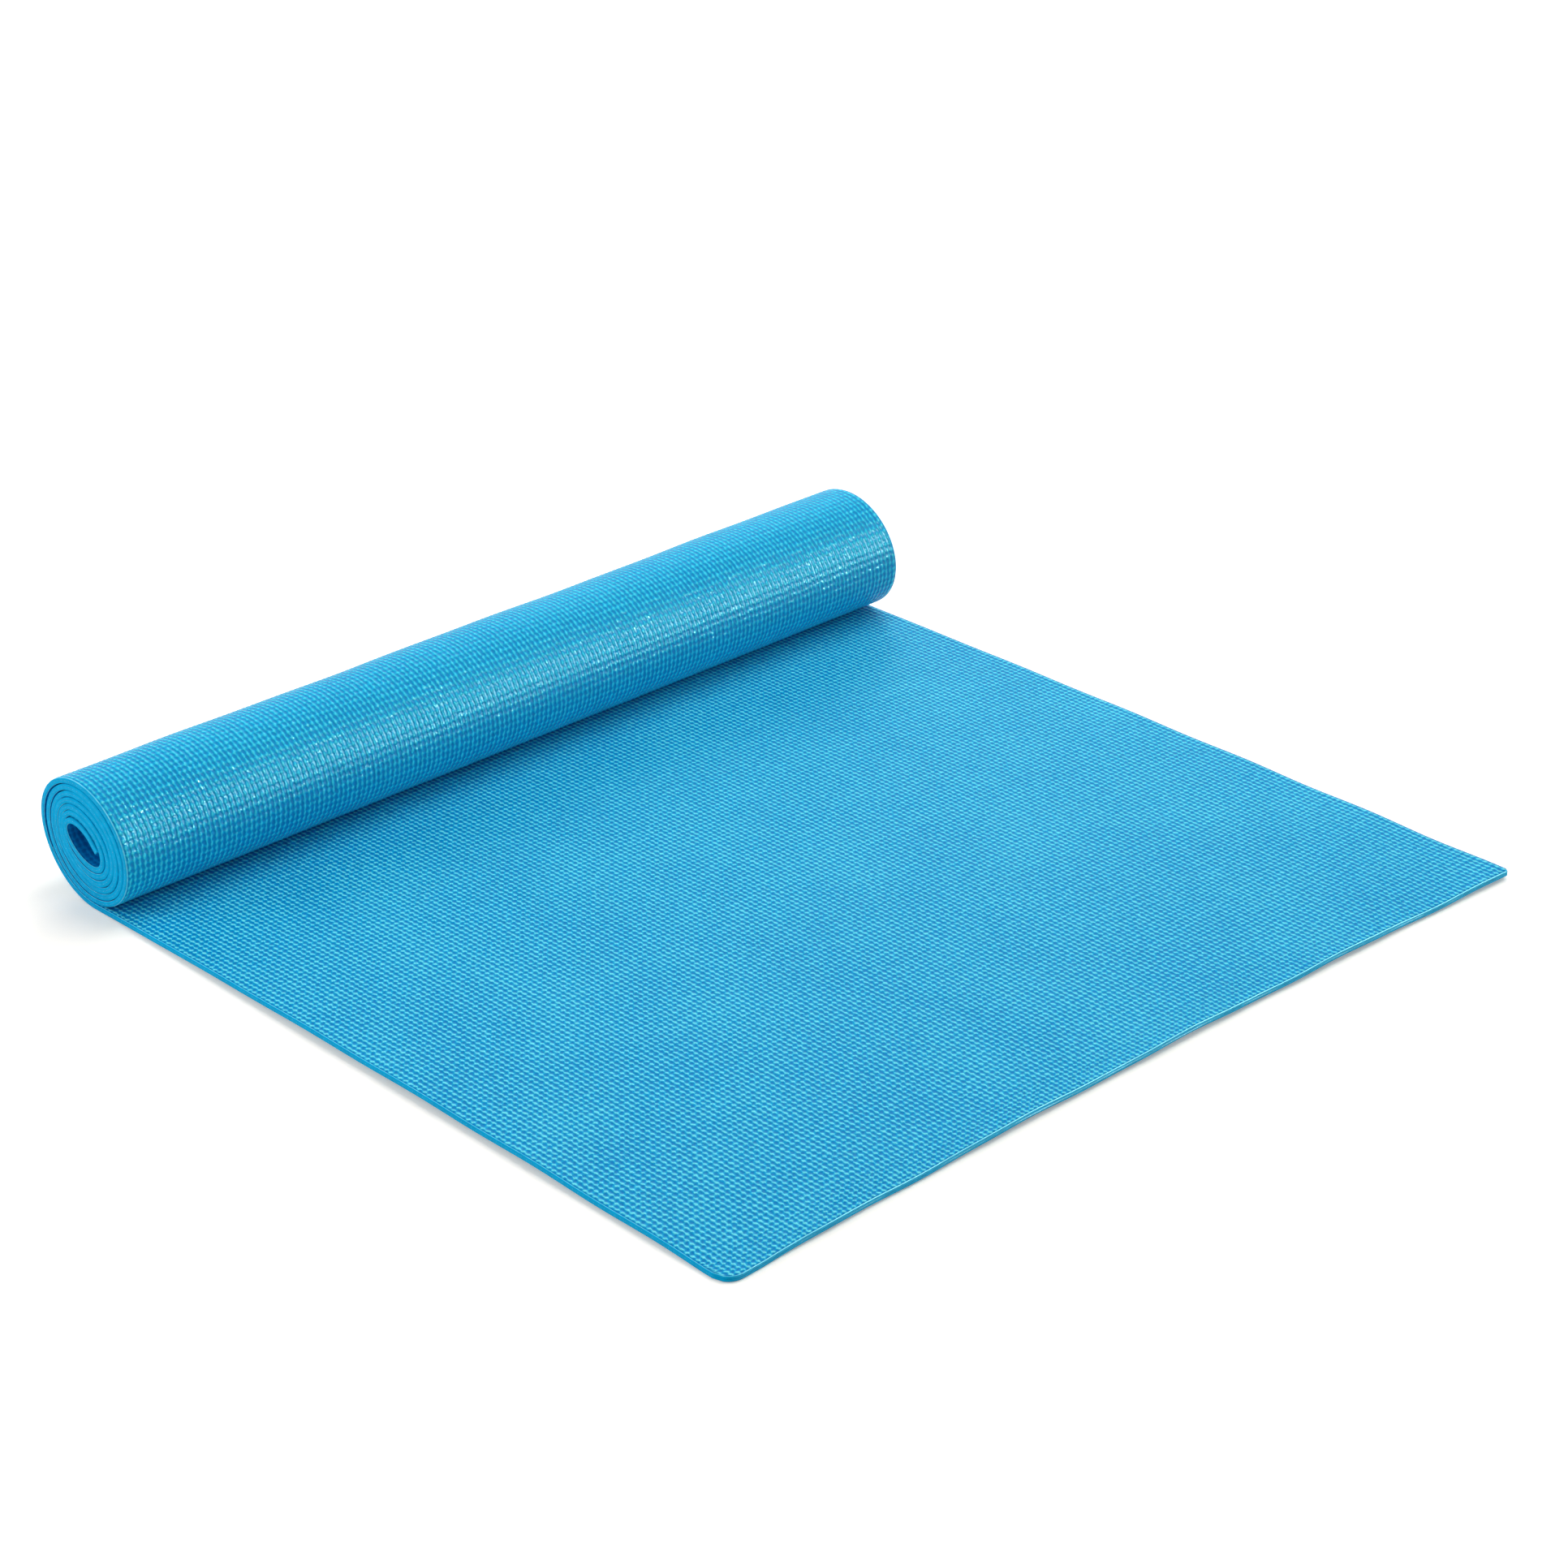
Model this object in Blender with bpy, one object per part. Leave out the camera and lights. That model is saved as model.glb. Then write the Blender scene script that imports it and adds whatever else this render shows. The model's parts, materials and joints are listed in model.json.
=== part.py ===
"""Yoga mat, half unrolled on the floor.

One laminated sheet: a foam coat, a woven scrim and another foam coat, each with a thin bond
line between. The sheet lies flat towards +X, bends up at the back and winds into a roll whose
axis runs along Y. Each layer is three solids, one for each stretch that moves as one body:
flat, bend and roll.

Frame: metres, +Z up, origin at the centre of the footprint, at floor level.
"""

import math

import bmesh
import bpy

# The sheet
MAT_WIDTH = 0.610            # along the roll's axis
FOAM_THICKNESS = 0.0013      # each of the two foam coats, without its nubs
SCRIM_THICKNESS = 0.0002
BOND_GAP = 0.0003            # between a coat and the scrim, where the real layers are fused

# The flat stretch
FLAT_REACH = 0.5385          # from the roll's axis to the free end
CORNER_RADIUS = 0.012        # the free end's two corners, seen from above

# The roll: an oval spiral that grows by one pitch in each turn
HOLE_RADIUS = 0.0110         # mean, from the axis to the sheet's top face at its inner end
OVAL_REACH = 0.0015          # how far the roll is wider than round, and how far lower
WINDING_GAP = 0.0006         # between one turn and the next, and between the roll and the flat
LOOSE_GAP = 0.0011           # more than that at the back of each of the last turns
TAIL_DROOP = 0.0035          # how far the inner end hangs into the hole
FULL_TURNS = 6
LOOSE_TURNS = 2

# Angles round the roll's axis, from +X over the top and down the back
TAIL_END_DEG = 0             # the sheet's inner end
TAIL_ROOT_DEG = 150          # where the inner end starts to hang away
BACK_TOP_DEG = 90            # where the last turns start to stand away at the back
BEND_TOP_DEG = 210           # where the last turn ends and the bend takes over
FLOOR_DEG = 270              # where the sheet lies down on the floor
HOLE_LEAN_DEG = -18          # lean of the oval at the hole, which fades out towards the outside
SEGMENTS_PER_TURN = 24
CORNER_SEGMENTS = 6

SHEET_THICKNESS = 2 * FOAM_THICKNESS + SCRIM_THICKNESS + 2 * BOND_GAP
WINDING_PITCH = SHEET_THICKNESS + WINDING_GAP
TURN = 2 * math.pi
STEP = TURN / SEGMENTS_PER_TURN
TAIL_END = math.radians(TAIL_END_DEG)
BEND_TOP = TURN * FULL_TURNS + math.radians(BEND_TOP_DEG)
BEND_FOOT = TURN * FULL_TURNS + math.radians(FLOOR_DEG)

# Each layer's upper and lower side, measured down from the mat's top face
LAYERS = {
    "top_foam": (0, FOAM_THICKNESS),
    "scrim": (FOAM_THICKNESS + BOND_GAP, FOAM_THICKNESS + BOND_GAP + SCRIM_THICKNESS),
    "bottom_foam": (SHEET_THICKNESS - FOAM_THICKNESS, SHEET_THICKNESS),
}


def oval_lean(turned):
    """Lean of the oval at an angle from the inner end."""
    return math.radians(HOLE_LEAN_DEG) * (1 - turned / BEND_FOOT)


def tail_droop(turned):
    """How far the inner end hangs away from the turn outside it."""
    root = math.radians(TAIL_ROOT_DEG)
    return TAIL_DROOP * max(0, 1 - turned / root) ** 2


def looseness(turned):
    """How far a turn stands away at the back of the roll, in step with the turns inside it."""
    turns_done = math.floor(turned / TURN)
    loose_turns = max(0, turns_done - FULL_TURNS + LOOSE_TURNS)
    top = math.radians(BACK_TOP_DEG)
    along_back = (turned - TURN * turns_done - top) / (math.radians(FLOOR_DEG) - top)
    along_back = min(1, max(0, along_back))
    return LOOSE_GAP * loose_turns * math.sin(math.pi * along_back) ** 2


def spiral_radius(turned, depth):
    """Distance from the axis to the tangent of a layer side, at an angle round the axis."""
    grown = WINDING_PITCH * turned / TURN
    oval = OVAL_REACH * math.cos(2 * (turned - oval_lean(turned)))
    return HOLE_RADIUS + depth + grown + oval - tail_droop(turned) + looseness(turned)


# The axis is as high as brings the bend's foot down to the floor
AXIS_HEIGHT = spiral_radius(BEND_FOOT, SHEET_THICKNESS)


def spiral_point(turned, depth):
    """Point of a layer side, counted from the axis.

    The side is drawn by its tangents, so neighbouring turns keep their gap all round.
    """
    near = STEP / SEGMENTS_PER_TURN
    radius = spiral_radius(turned, depth)
    slope = (spiral_radius(turned + near, depth) - spiral_radius(turned - near, depth)) / (2 * near)
    along_x = radius * math.cos(turned) - slope * math.sin(turned)
    along_z = radius * math.sin(turned) + slope * math.cos(turned)
    return along_x, along_z


def spiral_side(first, last, depth):
    """Points of a layer side between two angles, at even steps."""
    steps = max(1, round((last - first) / STEP))
    return [spiral_point(first + (last - first) * i / steps, depth) for i in range(steps + 1)]


BACK_REACH = -min(x for x, z in spiral_side(BEND_TOP - math.pi, BEND_FOOT, SHEET_THICKNESS))
AXIS_X = (BACK_REACH - FLAT_REACH) / 2
FLAT_START = AXIS_X + spiral_point(BEND_FOOT, SHEET_THICKNESS)[0] + BOND_GAP / 2
FLAT_END = AXIS_X + FLAT_REACH


def clear_scene():
    """Empty the scene, so that the model stands alone in it."""
    for thing in list(bpy.data.objects):
        bpy.data.objects.remove(thing, do_unlink=True)


def finish_material(name, colour, roughness):
    """Plain material of one piece."""
    material = bpy.data.materials.new(name)
    material.use_nodes = True
    shader = material.node_tree.nodes["Principled BSDF"]
    shader.inputs["Base Color"].default_value = (*colour, 1)
    shader.inputs["Roughness"].default_value = roughness
    shader.inputs["Metallic"].default_value = 0
    return material


def add_object(name, mesh_data, material):
    """Close the mesh, turn its faces outwards and put it in the scene as a named object."""
    bmesh.ops.recalc_face_normals(mesh_data, faces=mesh_data.faces)
    mesh = bpy.data.meshes.new(name)
    mesh_data.to_mesh(mesh)
    mesh_data.free()
    mesh.materials.append(material)
    thing = bpy.data.objects.new(name, mesh)
    bpy.context.scene.collection.objects.link(thing)
    return thing


def push_out(mesh_data, direction):
    """Extrude every face along one direction into a closed solid."""
    made = bmesh.ops.extrude_face_region(mesh_data, geom=mesh_data.faces[:])
    moved = [v for v in made["geom"] if isinstance(v, bmesh.types.BMVert)]
    bmesh.ops.translate(mesh_data, verts=moved, vec=direction)


def wound_layer(name, first, last, depths, carrier, material):
    """A layer's stretch round the roll: its section from the near end, pushed along the axis."""
    section = bmesh.new()
    sides = []
    for depth in depths:
        points = spiral_side(first, last, depth)
        sides.append([section.verts.new((x, -MAT_WIDTH / 2, z)) for x, z in points])
    inner, outer = sides
    for i in range(len(inner) - 1):
        section.faces.new((inner[i], inner[i + 1], outer[i + 1], outer[i]))
    push_out(section, (0, MAT_WIDTH, 0))
    thing = add_object(name, section, material)
    thing.parent = carrier
    return thing


def flat_outline():
    """The flat stretch seen from above, with its free corners rounded."""
    centre_x = FLAT_END - CORNER_RADIUS
    centre_y = MAT_WIDTH / 2 - CORNER_RADIUS
    corner = []
    for i in range(CORNER_SEGMENTS + 1):
        turn = math.pi / 2 * i / CORNER_SEGMENTS
        corner.append((centre_x + CORNER_RADIUS * math.cos(turn),
                       centre_y + CORNER_RADIUS * math.sin(turn)))
    far_side = corner + [(FLAT_START, MAT_WIDTH / 2)]
    near_side = [(x, -y) for x, y in reversed(far_side)]
    return far_side + near_side


def flat_layer(name, depths, material):
    """A layer's stretch on the floor: its outline, pushed up by its thickness."""
    upper, lower = depths
    outline = bmesh.new()
    corners = [outline.verts.new((x, y, SHEET_THICKNESS - lower)) for x, y in flat_outline()]
    outline.faces.new(corners)
    push_out(outline, (0, 0, lower - upper))
    return add_object(name, outline, material)


def roll_axis(name):
    """An empty on the roll's axis, which carries what moves with the roll."""
    axis = bpy.data.objects.new(name, None)
    axis.location = (AXIS_X, 0, AXIS_HEIGHT)
    bpy.context.scene.collection.objects.link(axis)
    return axis


def distance_to_run(point, start, end):
    """Distance from a point to the straight run between two others."""
    run = (end[0] - start[0], end[1] - start[1])
    reach = (point[0] - start[0], point[1] - start[1])
    share = (run[0] * reach[0] + run[1] * reach[1]) / (run[0] ** 2 + run[1] ** 2)
    share = min(1, max(0, share))
    return math.hypot(reach[0] - share * run[0], reach[1] - share * run[1])


def least_gap(upper, lower):
    """Least gap from a layer to its own next turn outwards, measured on the points."""
    inside = spiral_side(TAIL_END, BEND_TOP, lower)
    outside = spiral_side(TAIL_END, BEND_TOP, upper)
    half_turn = SEGMENTS_PER_TURN // 2
    gaps = []
    for i, point in enumerate(inside):
        for j in range(i + half_turn, len(outside) - 1):
            gaps.append(distance_to_run(point, outside[j], outside[j + 1]))
    return min(gaps)


def path_length(points):
    """Length of a path of straight runs."""
    return sum(math.dist(a, b) for a, b in zip(points, points[1:]))


def build():
    """Make the nine solids."""
    clear_scene()
    blue_foam = (0.016, 0.330, 0.680)
    pale_thread = (0.62, 0.70, 0.74)
    finishes = {
        "top_foam": finish_material("top_foam", blue_foam, 0.55),
        "scrim": finish_material("scrim", pale_thread, 0.8),
        "bottom_foam": finish_material("bottom_foam", blue_foam, 0.5),
    }
    carriage = roll_axis("bend_carrier")
    winding = roll_axis("roll_carrier")
    winding.parent = carriage
    winding.location = (0, 0, 0)
    # The bend stops one bond gap short of the last turn
    bend_gap = BOND_GAP / spiral_radius(BEND_TOP, SHEET_THICKNESS)
    for layer, depths in LAYERS.items():
        material = finishes[layer]
        flat_layer("flat_" + layer, depths, material)
        wound_layer("bend_" + layer, BEND_TOP + bend_gap, BEND_FOOT, depths, carriage, material)
        wound_layer("roll_" + layer, TAIL_END, BEND_TOP, depths, winding, material)


def print_measures():
    """Least gaps in the winding, and the length of sheet in it."""
    for layer, depths in LAYERS.items():
        print(f"{layer}: least gap to its own next turn {least_gap(*depths) * 1000:.3f} mm")
    print(f"sheet: least gap to its own next turn {least_gap(0, SHEET_THICKNESS) * 1000:.3f} mm")
    wound = path_length(spiral_side(TAIL_END, BEND_FOOT, SHEET_THICKNESS / 2))
    print(f"sheet length {wound + FLAT_END - FLAT_START:.4f} m")
    print(f"axis at x {AXIS_X:.6f} m, z {AXIS_HEIGHT:.6f} m")
    print(f"rolling radius {AXIS_HEIGHT - SHEET_THICKNESS / 2:.6f} m")
    print(f"flat from x {FLAT_START:.6f} to {FLAT_END:.6f} m")


build()
print_measures()
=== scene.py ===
import json
import math

import bpy
import numpy as np
from mathutils import Matrix, Vector


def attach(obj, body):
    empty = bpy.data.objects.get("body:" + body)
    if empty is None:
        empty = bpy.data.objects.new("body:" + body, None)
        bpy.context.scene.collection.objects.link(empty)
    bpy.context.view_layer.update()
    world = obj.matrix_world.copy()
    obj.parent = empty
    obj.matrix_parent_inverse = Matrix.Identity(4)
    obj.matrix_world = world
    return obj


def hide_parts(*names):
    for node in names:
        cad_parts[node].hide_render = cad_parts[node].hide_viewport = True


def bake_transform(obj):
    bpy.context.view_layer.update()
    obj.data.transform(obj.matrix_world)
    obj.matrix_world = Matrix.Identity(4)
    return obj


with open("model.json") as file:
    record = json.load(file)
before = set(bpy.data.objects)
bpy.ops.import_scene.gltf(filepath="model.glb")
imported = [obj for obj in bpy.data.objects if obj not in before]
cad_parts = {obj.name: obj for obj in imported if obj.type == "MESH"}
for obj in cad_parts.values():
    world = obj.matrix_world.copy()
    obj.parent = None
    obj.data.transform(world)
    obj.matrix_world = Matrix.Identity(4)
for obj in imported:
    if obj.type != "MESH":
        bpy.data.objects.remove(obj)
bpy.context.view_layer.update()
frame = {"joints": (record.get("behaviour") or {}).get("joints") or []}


# The floor, the light and the camera
# The mat lies on seamless white paper in a photo studio. Three soft boxes light it, and two
# more only glint on its nubs. The camera stands off the free end's near corner.
CAMERA_PLACE = (1.4475, -1.3672, 1.0642)
CAMERA_TILT_DEG = 63.25              # up from straight down
CAMERA_TURN_DEG = 46.475             # to the left of +Y
CAMERA_ROLL_DEG = -0.216
CAMERA_LENS_MM = 89.67               # on a sensor 36 mm wide
CAMERA_SIGHT = 200                   # it sees the paper right to its far end
FLOOR_HALF = 30.0
FLOOR_HEIGHT = -0.0003               # the nubs of the mat's underside just clear it
FLOOR_PALE = "F4EEE6"
GLOW_NEAR, GLOW_FAR = 0.26, 0.75     # added where it is seen, so that the lit paper looks white
GLOW_FROM, GLOW_TO = 0.8, 3.0        # how far from the mat
SKY_LOW, SKY_HIGH = 0.232, 0.464     # the studio's walls and ceiling, as light on the mat
WHITE, GLINT_CYAN = "FFFFFF", "B4FFEE"       # the glints on the blue mat come out pale cyan
SOFT_BOXES = {
    # name: place, what it points at, size, power in watts, whether it lights or only glints
    "right_box": ((1.45, 1.36, 1.03), (-0.15, 0.0, 0.0), 0.40, 1500.0, False),
    "left_box": ((-1.6, 1.75, 1.3), (-0.15, 0.0, 0.0), 0.50, 25.0, False),
    "top_box": ((-0.1, 0.8, 2.4), (-0.1, 0.0, 0.0), 1.8, 40.0, True),
    "back_box": ((-2.2, 2.1, 1.1), (-0.1, 0.0, 0.0), 1.5, 46.0, True),
    "side_box": ((-1.3, -2.0, 1.1), (-0.1, 0.0, 0.0), 1.5, 22.0, True),
}


def paint(code):
    """Linear colour, with alpha, from an sRGB hex value."""
    shares = [int(code[i:i + 2], 16) / 255 for i in (0, 2, 4)]
    linear = [s / 12.92 if s <= 0.04045 else ((s + 0.055) / 1.055) ** 2.4 for s in shares]
    return (*linear, 1.0)


def add_node(tree, kind, settings=None, inputs=None):
    """Add a node with its settings, and set or link its inputs, by name or by number."""
    node = tree.nodes.new(kind)
    for name, value in (settings or {}).items():
        setattr(node, name, value)
    for key, value in (inputs or {}).items():
        if isinstance(value, bpy.types.NodeSocket):
            tree.links.new(value, node.inputs[key])
        else:
            node.inputs[key].default_value = value
    return node


def seen_share(tree):
    """1 for rays that show the studio, straight, mirrored or through glass, and 0 for its light."""
    rays = add_node(tree, "ShaderNodeLightPath").outputs
    seen = add_node(tree, "ShaderNodeMath", {"operation": "MAXIMUM"},
                    {0: rays["Is Camera Ray"], 1: rays["Is Glossy Ray"]})
    return add_node(tree, "ShaderNodeMath", {"operation": "MAXIMUM"},
                    {0: seen.outputs[0], 1: rays["Is Transmission Ray"]}).outputs[0]


def floor_material():
    """Matt white paper, a little brighter where it is seen, so that only shadows show on it."""
    material = bpy.data.materials.new("matt_white_paper")
    material.use_nodes = True
    tree = material.node_tree
    tree.nodes.clear()
    spot = add_node(tree, "ShaderNodeTexCoord").outputs["Object"]
    away = add_node(tree, "ShaderNodeVectorMath", {"operation": "LENGTH"}, {0: spot})
    glow = add_node(tree, "ShaderNodeMapRange", {"interpolation_type": "SMOOTHSTEP"},
                    {"Value": away.outputs["Value"], "From Min": GLOW_FROM, "From Max": GLOW_TO,
                     "To Min": GLOW_NEAR, "To Max": GLOW_FAR})
    glow = add_node(tree, "ShaderNodeMath", {"operation": "MULTIPLY"},
                    {0: seen_share(tree), 1: glow.outputs[0]})
    paper = add_node(tree, "ShaderNodeBsdfDiffuse", inputs={"Color": paint(FLOOR_PALE)})
    light = add_node(tree, "ShaderNodeEmission", inputs={"Strength": glow.outputs[0]})
    both = add_node(tree, "ShaderNodeAddShader",
                    inputs={0: paper.outputs[0], 1: light.outputs[0]})
    add_node(tree, "ShaderNodeOutputMaterial", inputs={"Surface": both.outputs[0]})
    return material


def make_floor():
    """The paper under the mat, far wider than the view."""
    mesh = bpy.data.meshes.new("studio_floor")
    corners = [(x * FLOOR_HALF, y * FLOOR_HALF, FLOOR_HEIGHT)
               for x, y in ((-1, -1), (1, -1), (1, 1), (-1, 1))]
    mesh.from_pydata(corners, [], [(0, 1, 2, 3)])
    mesh.materials.append(floor_material())
    floor = bpy.data.objects.new("studio_floor", mesh)
    bpy.context.scene.collection.objects.link(floor)


def light_studio():
    """A world that is white where it is seen or mirrored and grey as light, and the soft boxes."""
    world = bpy.data.worlds.new("white_studio")
    bpy.context.scene.world = world
    world.use_nodes = True
    tree = world.node_tree
    tree.nodes.clear()
    way = add_node(tree, "ShaderNodeTexCoord").outputs["Generated"]
    height = add_node(tree, "ShaderNodeSeparateXYZ", inputs={0: way}).outputs[2]
    grey = add_node(tree, "ShaderNodeMapRange", {},
                    {"Value": height, "To Min": SKY_LOW, "To Max": SKY_HIGH})
    level = add_node(tree, "ShaderNodeMath", {"operation": "MAXIMUM"},
                     {0: grey.outputs[0], 1: seen_share(tree)})
    sky = add_node(tree, "ShaderNodeBackground",
                   inputs={"Color": paint(WHITE), "Strength": level.outputs[0]})
    add_node(tree, "ShaderNodeOutputWorld", inputs={"Surface": sky.outputs[0]})
    for name, (place, target, size, power, lights) in SOFT_BOXES.items():
        data = bpy.data.lights.new(name, "AREA")
        data.shape = "SQUARE"
        data.size = size
        data.energy = power
        data.color = paint(WHITE if lights else GLINT_CYAN)[:3]
        box = bpy.data.objects.new(name, data)
        box.location = place
        aim = Vector(target) - Vector(place)
        box.rotation_euler = aim.to_track_quat("-Z", "Y").to_euler()
        box.visible_diffuse = lights
        box.visible_glossy = not lights
        bpy.context.scene.collection.objects.link(box)


def set_camera():
    """The photograph's view of the mat."""
    data = bpy.data.cameras.new("camera")
    data.lens = CAMERA_LENS_MM
    data.clip_end = CAMERA_SIGHT
    camera = bpy.data.objects.new("camera", data)
    turn = Matrix.Rotation(math.radians(CAMERA_TURN_DEG), 4, "Z")
    tilt = Matrix.Rotation(math.radians(CAMERA_TILT_DEG), 4, "X")
    roll = Matrix.Rotation(math.radians(CAMERA_ROLL_DEG), 4, "Z")
    camera.matrix_world = Matrix.Translation(CAMERA_PLACE) @ turn @ tilt @ roll
    bpy.context.scene.collection.objects.link(camera)
    bpy.context.scene.camera = camera
    bpy.context.scene.view_settings.view_transform = "Standard"


make_floor()
light_studio()
set_camera()


# The net
# A polyester net runs through the middle of the sheet and keeps it from stretching. The foam
# is coated onto both of its faces, and its openings set the pitch of the nubs.
# It lies in three stretches, as the sheet does: on the floor, up the back, and in the roll.
BODIES = ("flat", "bend", "roll")
AXIS = Vector(frame["joints"][1]["pos_m"])   # the roll's, on which roll_turn turns it
MAT_WIDTH = 0.610
SHEET_THICKNESS = 0.0034
NET_THICKNESS = 0.0002
THREAD_HALF = 0.00018                # half the width of a thread
THREAD_FADE_SHARE = 0.3              # its soft border
THREAD_RELIEF = 0.00008
NET_COLOURS = ("1E9BD4", "8CC6DD")   # the foam in the openings, and the threads
NET_ROUGHNESS = 0.8
NUBS_ACROSS = 174                    # rows of nubs, 3.5 mm apart
ROW_PITCH = MAT_WIDTH / NUBS_ACROSS
NUB_PITCH = 0.0040                   # along the sheet
REACH_NEAR, REACH_FAR = 0.5350, 0.5413     # the roll's axis to the free end, at either side
NEAR_CORNER_RADIUS, FAR_CORNER_RADIUS = 0.0105, 0.0025
NUBS_ALONG_FLAT = 134
SQUEEZED_COLUMNS = 12                # half pitches before the free end that follow its outline
END_BOW = 0.0050                     # the free end bows in this far between its corners
EDGE_WAVE = 0.0004                   # and its cut wanders this far
EDGE_WAVE_LENGTHS = (0.21, 0.083)
EDGE_WAVE_START = 1

# How the flat stretch lifts off the floor, because it was stored in a roll
LIFT_NEAR_SIDE = 0.0032
LIFT_FREE_END = 0.0018
LIFT_FAR_CORNER = 0.0012
LIFT_FAR_SIDE = 0.0020
RIPPLE = 0.0005                      # short waves along the free end
RIPPLE_LENGTH = 0.095
RIPPLE_SLANT = 0.7
UNREST = 0.0005                      # long low waves all over it
UNREST_WAVES = (                     # length along X, length along Y, and where each starts
    (0.31, 0.47, 0.0),
    (0.19, -0.26, 0.0),
    (0.9, 0.14, 0.3),
)
UNREST_FADE_SHARE = 0.25             # they fade out over this share beside the roll
END_ARCH_SHIFT, END_ARCH_POWER = 1.04, 1.6     # the free end's arch, highest near its middle
END_SHARPNESS = 5                    # how soon the free end's lift fades inwards
EDGE_SHARPNESS = 8                   # and how soon the short waves do

# The roll's two outlines: each turn lies part of the way from the hole to the outside
HOLE_HALF = (0.0137, 0.0070)         # half length and half height, before the turns grow
HOLE_SHIFT = (-0.0013, 0.0001)
ROLL_HALF = (0.0398, 0.0358)
ROLL_SHIFT = (0.0022, 0.0006)
LEAN_DEG = -26                       # both outlines lean to the upper left
TURNS = 6.75                         # from +X at the hole to the floor
LOOSE_GAP = 0.00115                  # more room at the back of each of the last turns
TIGHTER = 0.0010                     # and what the turns inside give up for it
LOOSE_TURNS = 2
BACK_TOP_DEG = 90                    # where the loose gaps open, and how far round they reach
BACK_REACH_DEG = 190
TAIL_AT_DEG = 45                     # where the inner end runs straight
TAIL_RUN = 0.0080
TAIL_DROOP = 0.0044                  # how far it hangs into the hole
TAIL_ROOT_DEG = 160
BEND_TOP_DEG = 210                   # where the roll ends and the bend takes over, last turn
TURN_WOBBLE = 0.00030                # the turns' edges aren't quite flush
WOBBLES = 1.7                        # to each turn
BULGE = 0.0008                       # low swellings along the top of the roll
BULGE_SHARES = (0.5, 0.35, 0.15, 1.6)          # even, long waves, short waves, the far end
BULGE_LENGTHS = (0.21, 0.0132)       # of the long waves, and of one radian of the short ones
BULGE_START = 2                      # where the long waves start, in radians
BULGE_FAR_POWER = 5                  # how close to the far end its own swelling keeps
BULGE_TURNS = 1.5                    # they fade in over the innermost turns
TURN_GAP = 0.00030                   # what stays open where turns press on each other
PLUMPNESS = 0.0009                   # the most that the foam swells into the room between turns
PLUMP_FADE_DEG = 40                  # how far round it takes to fade before the last turn

HALF_COLUMN = NUB_PITCH / 2
ROW_STEPS = 2 * NUBS_ACROSS
FULL_TURN = 2 * math.pi
FOOT = FULL_TURN * TURNS
BEND_TOP = FULL_TURN * math.floor(TURNS) + math.radians(BEND_TOP_DEG)
INNER_RIM_SHARE = 0.5                # the edges of the inner turns are pressed sharper
RIM_FADE_COLUMNS = 8                 # half pitches over which they become so
# a pale rim is a painted highlight along the rounded edge
PALE_RIM_SHARE = 0.9                 # a rim is pale only where it is nearly as wide as at first
ROUND_SHARE = 0.3                    # how far the middle of a rim's rounding lies from its corner
JOIN_GAP = 0.00004                   # so that the roll, turned once, doesn't catch on the bend
COARSE_ROWS = 29                     # half rows to a cell on faces that don't show
PLAIN_STEP_DEG = 5                   # one column to each step where the roll hides the sheet
WINDING_POINTS = 24000
TAIL_POINTS, TAIL_COLUMNS = 40, 4    # on the straight inner end
SHARP_DEG = 50                       # edges bent more than this are drawn sharp
# EDGE's paler blue is a painted highlight along the rounded rims
SKIN, CUT, EDGE = 0, 1, 2            # which of its piece's materials a face takes


def outline_radius(half, shift, angle):
    """Distance from the axis to a leaning oval's tangent."""
    lean = angle - math.radians(LEAN_DEG)
    oval = np.hypot(half[0] * np.cos(lean), half[1] * np.sin(lean))
    return oval + shift[0] * np.cos(angle) + shift[1] * np.sin(angle)


def looseness(turned):
    """How far a turn stands away at the back, in step with the turns inside it."""
    top = math.radians(BACK_TOP_DEG)
    whole = np.floor((turned - top) / FULL_TURN)
    count = np.maximum(0, whole - math.floor(TURNS) + LOOSE_TURNS)
    share = np.clip((turned - top - whole * FULL_TURN) / math.radians(BACK_REACH_DEG), 0, 1)
    pressed = TIGHTER * (count - LOOSE_TURNS * turned / FOOT)
    return (LOOSE_GAP * count + pressed) * np.sin(math.pi * share) ** 2


def turn_radius(turned):
    """Distance from the axis to the tangent of the sheet's top face."""
    share = turned / FOOT
    inner = outline_radius(HOLE_HALF, HOLE_SHIFT, turned)
    outer = outline_radius(ROLL_HALF, ROLL_SHIFT, turned)
    droop = TAIL_DROOP * np.maximum(0, 1 - turned / math.radians(TAIL_ROOT_DEG)) ** 2
    return (1 - share) * inner + share * outer + looseness(turned) - droop


def swelling(turned):
    """How much thicker the sheet is inside the roll than flat, as a share."""
    room = (outline_radius(ROLL_HALF, ROLL_SHIFT, turned)
            - outline_radius(HOLE_HALF, HOLE_SHIFT, turned)) / TURNS
    room = np.minimum(room, turn_radius(turned + FULL_TURN) - turn_radius(turned))
    plump = np.clip(room - SHEET_THICKNESS - TURN_GAP, 0, PLUMPNESS)
    inside = np.clip((BEND_TOP - FULL_TURN - turned) / math.radians(PLUMP_FADE_DEG), 0, 1)
    return plump * inside / SHEET_THICKNESS


def bulging(turned, across):
    """How far the roll swells out, most at its top and nowhere at its foot."""
    even, long_share, short_share, far_share = BULGE_SHARES
    long_length, short_length = BULGE_LENGTHS
    high = np.sin((turned - FOOT) / 2) ** 2 * np.clip(turned / FULL_TURN / BULGE_TURNS, 0, 1)
    swell = even + long_share * np.sin(FULL_TURN * across / long_length + BULGE_START)
    swell = swell + short_share * np.sin(across / short_length)
    swell = swell + far_share * np.clip(across / MAT_WIDTH + 0.5, 0, 1) ** BULGE_FAR_POWER
    return BULGE * high * swell


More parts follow.
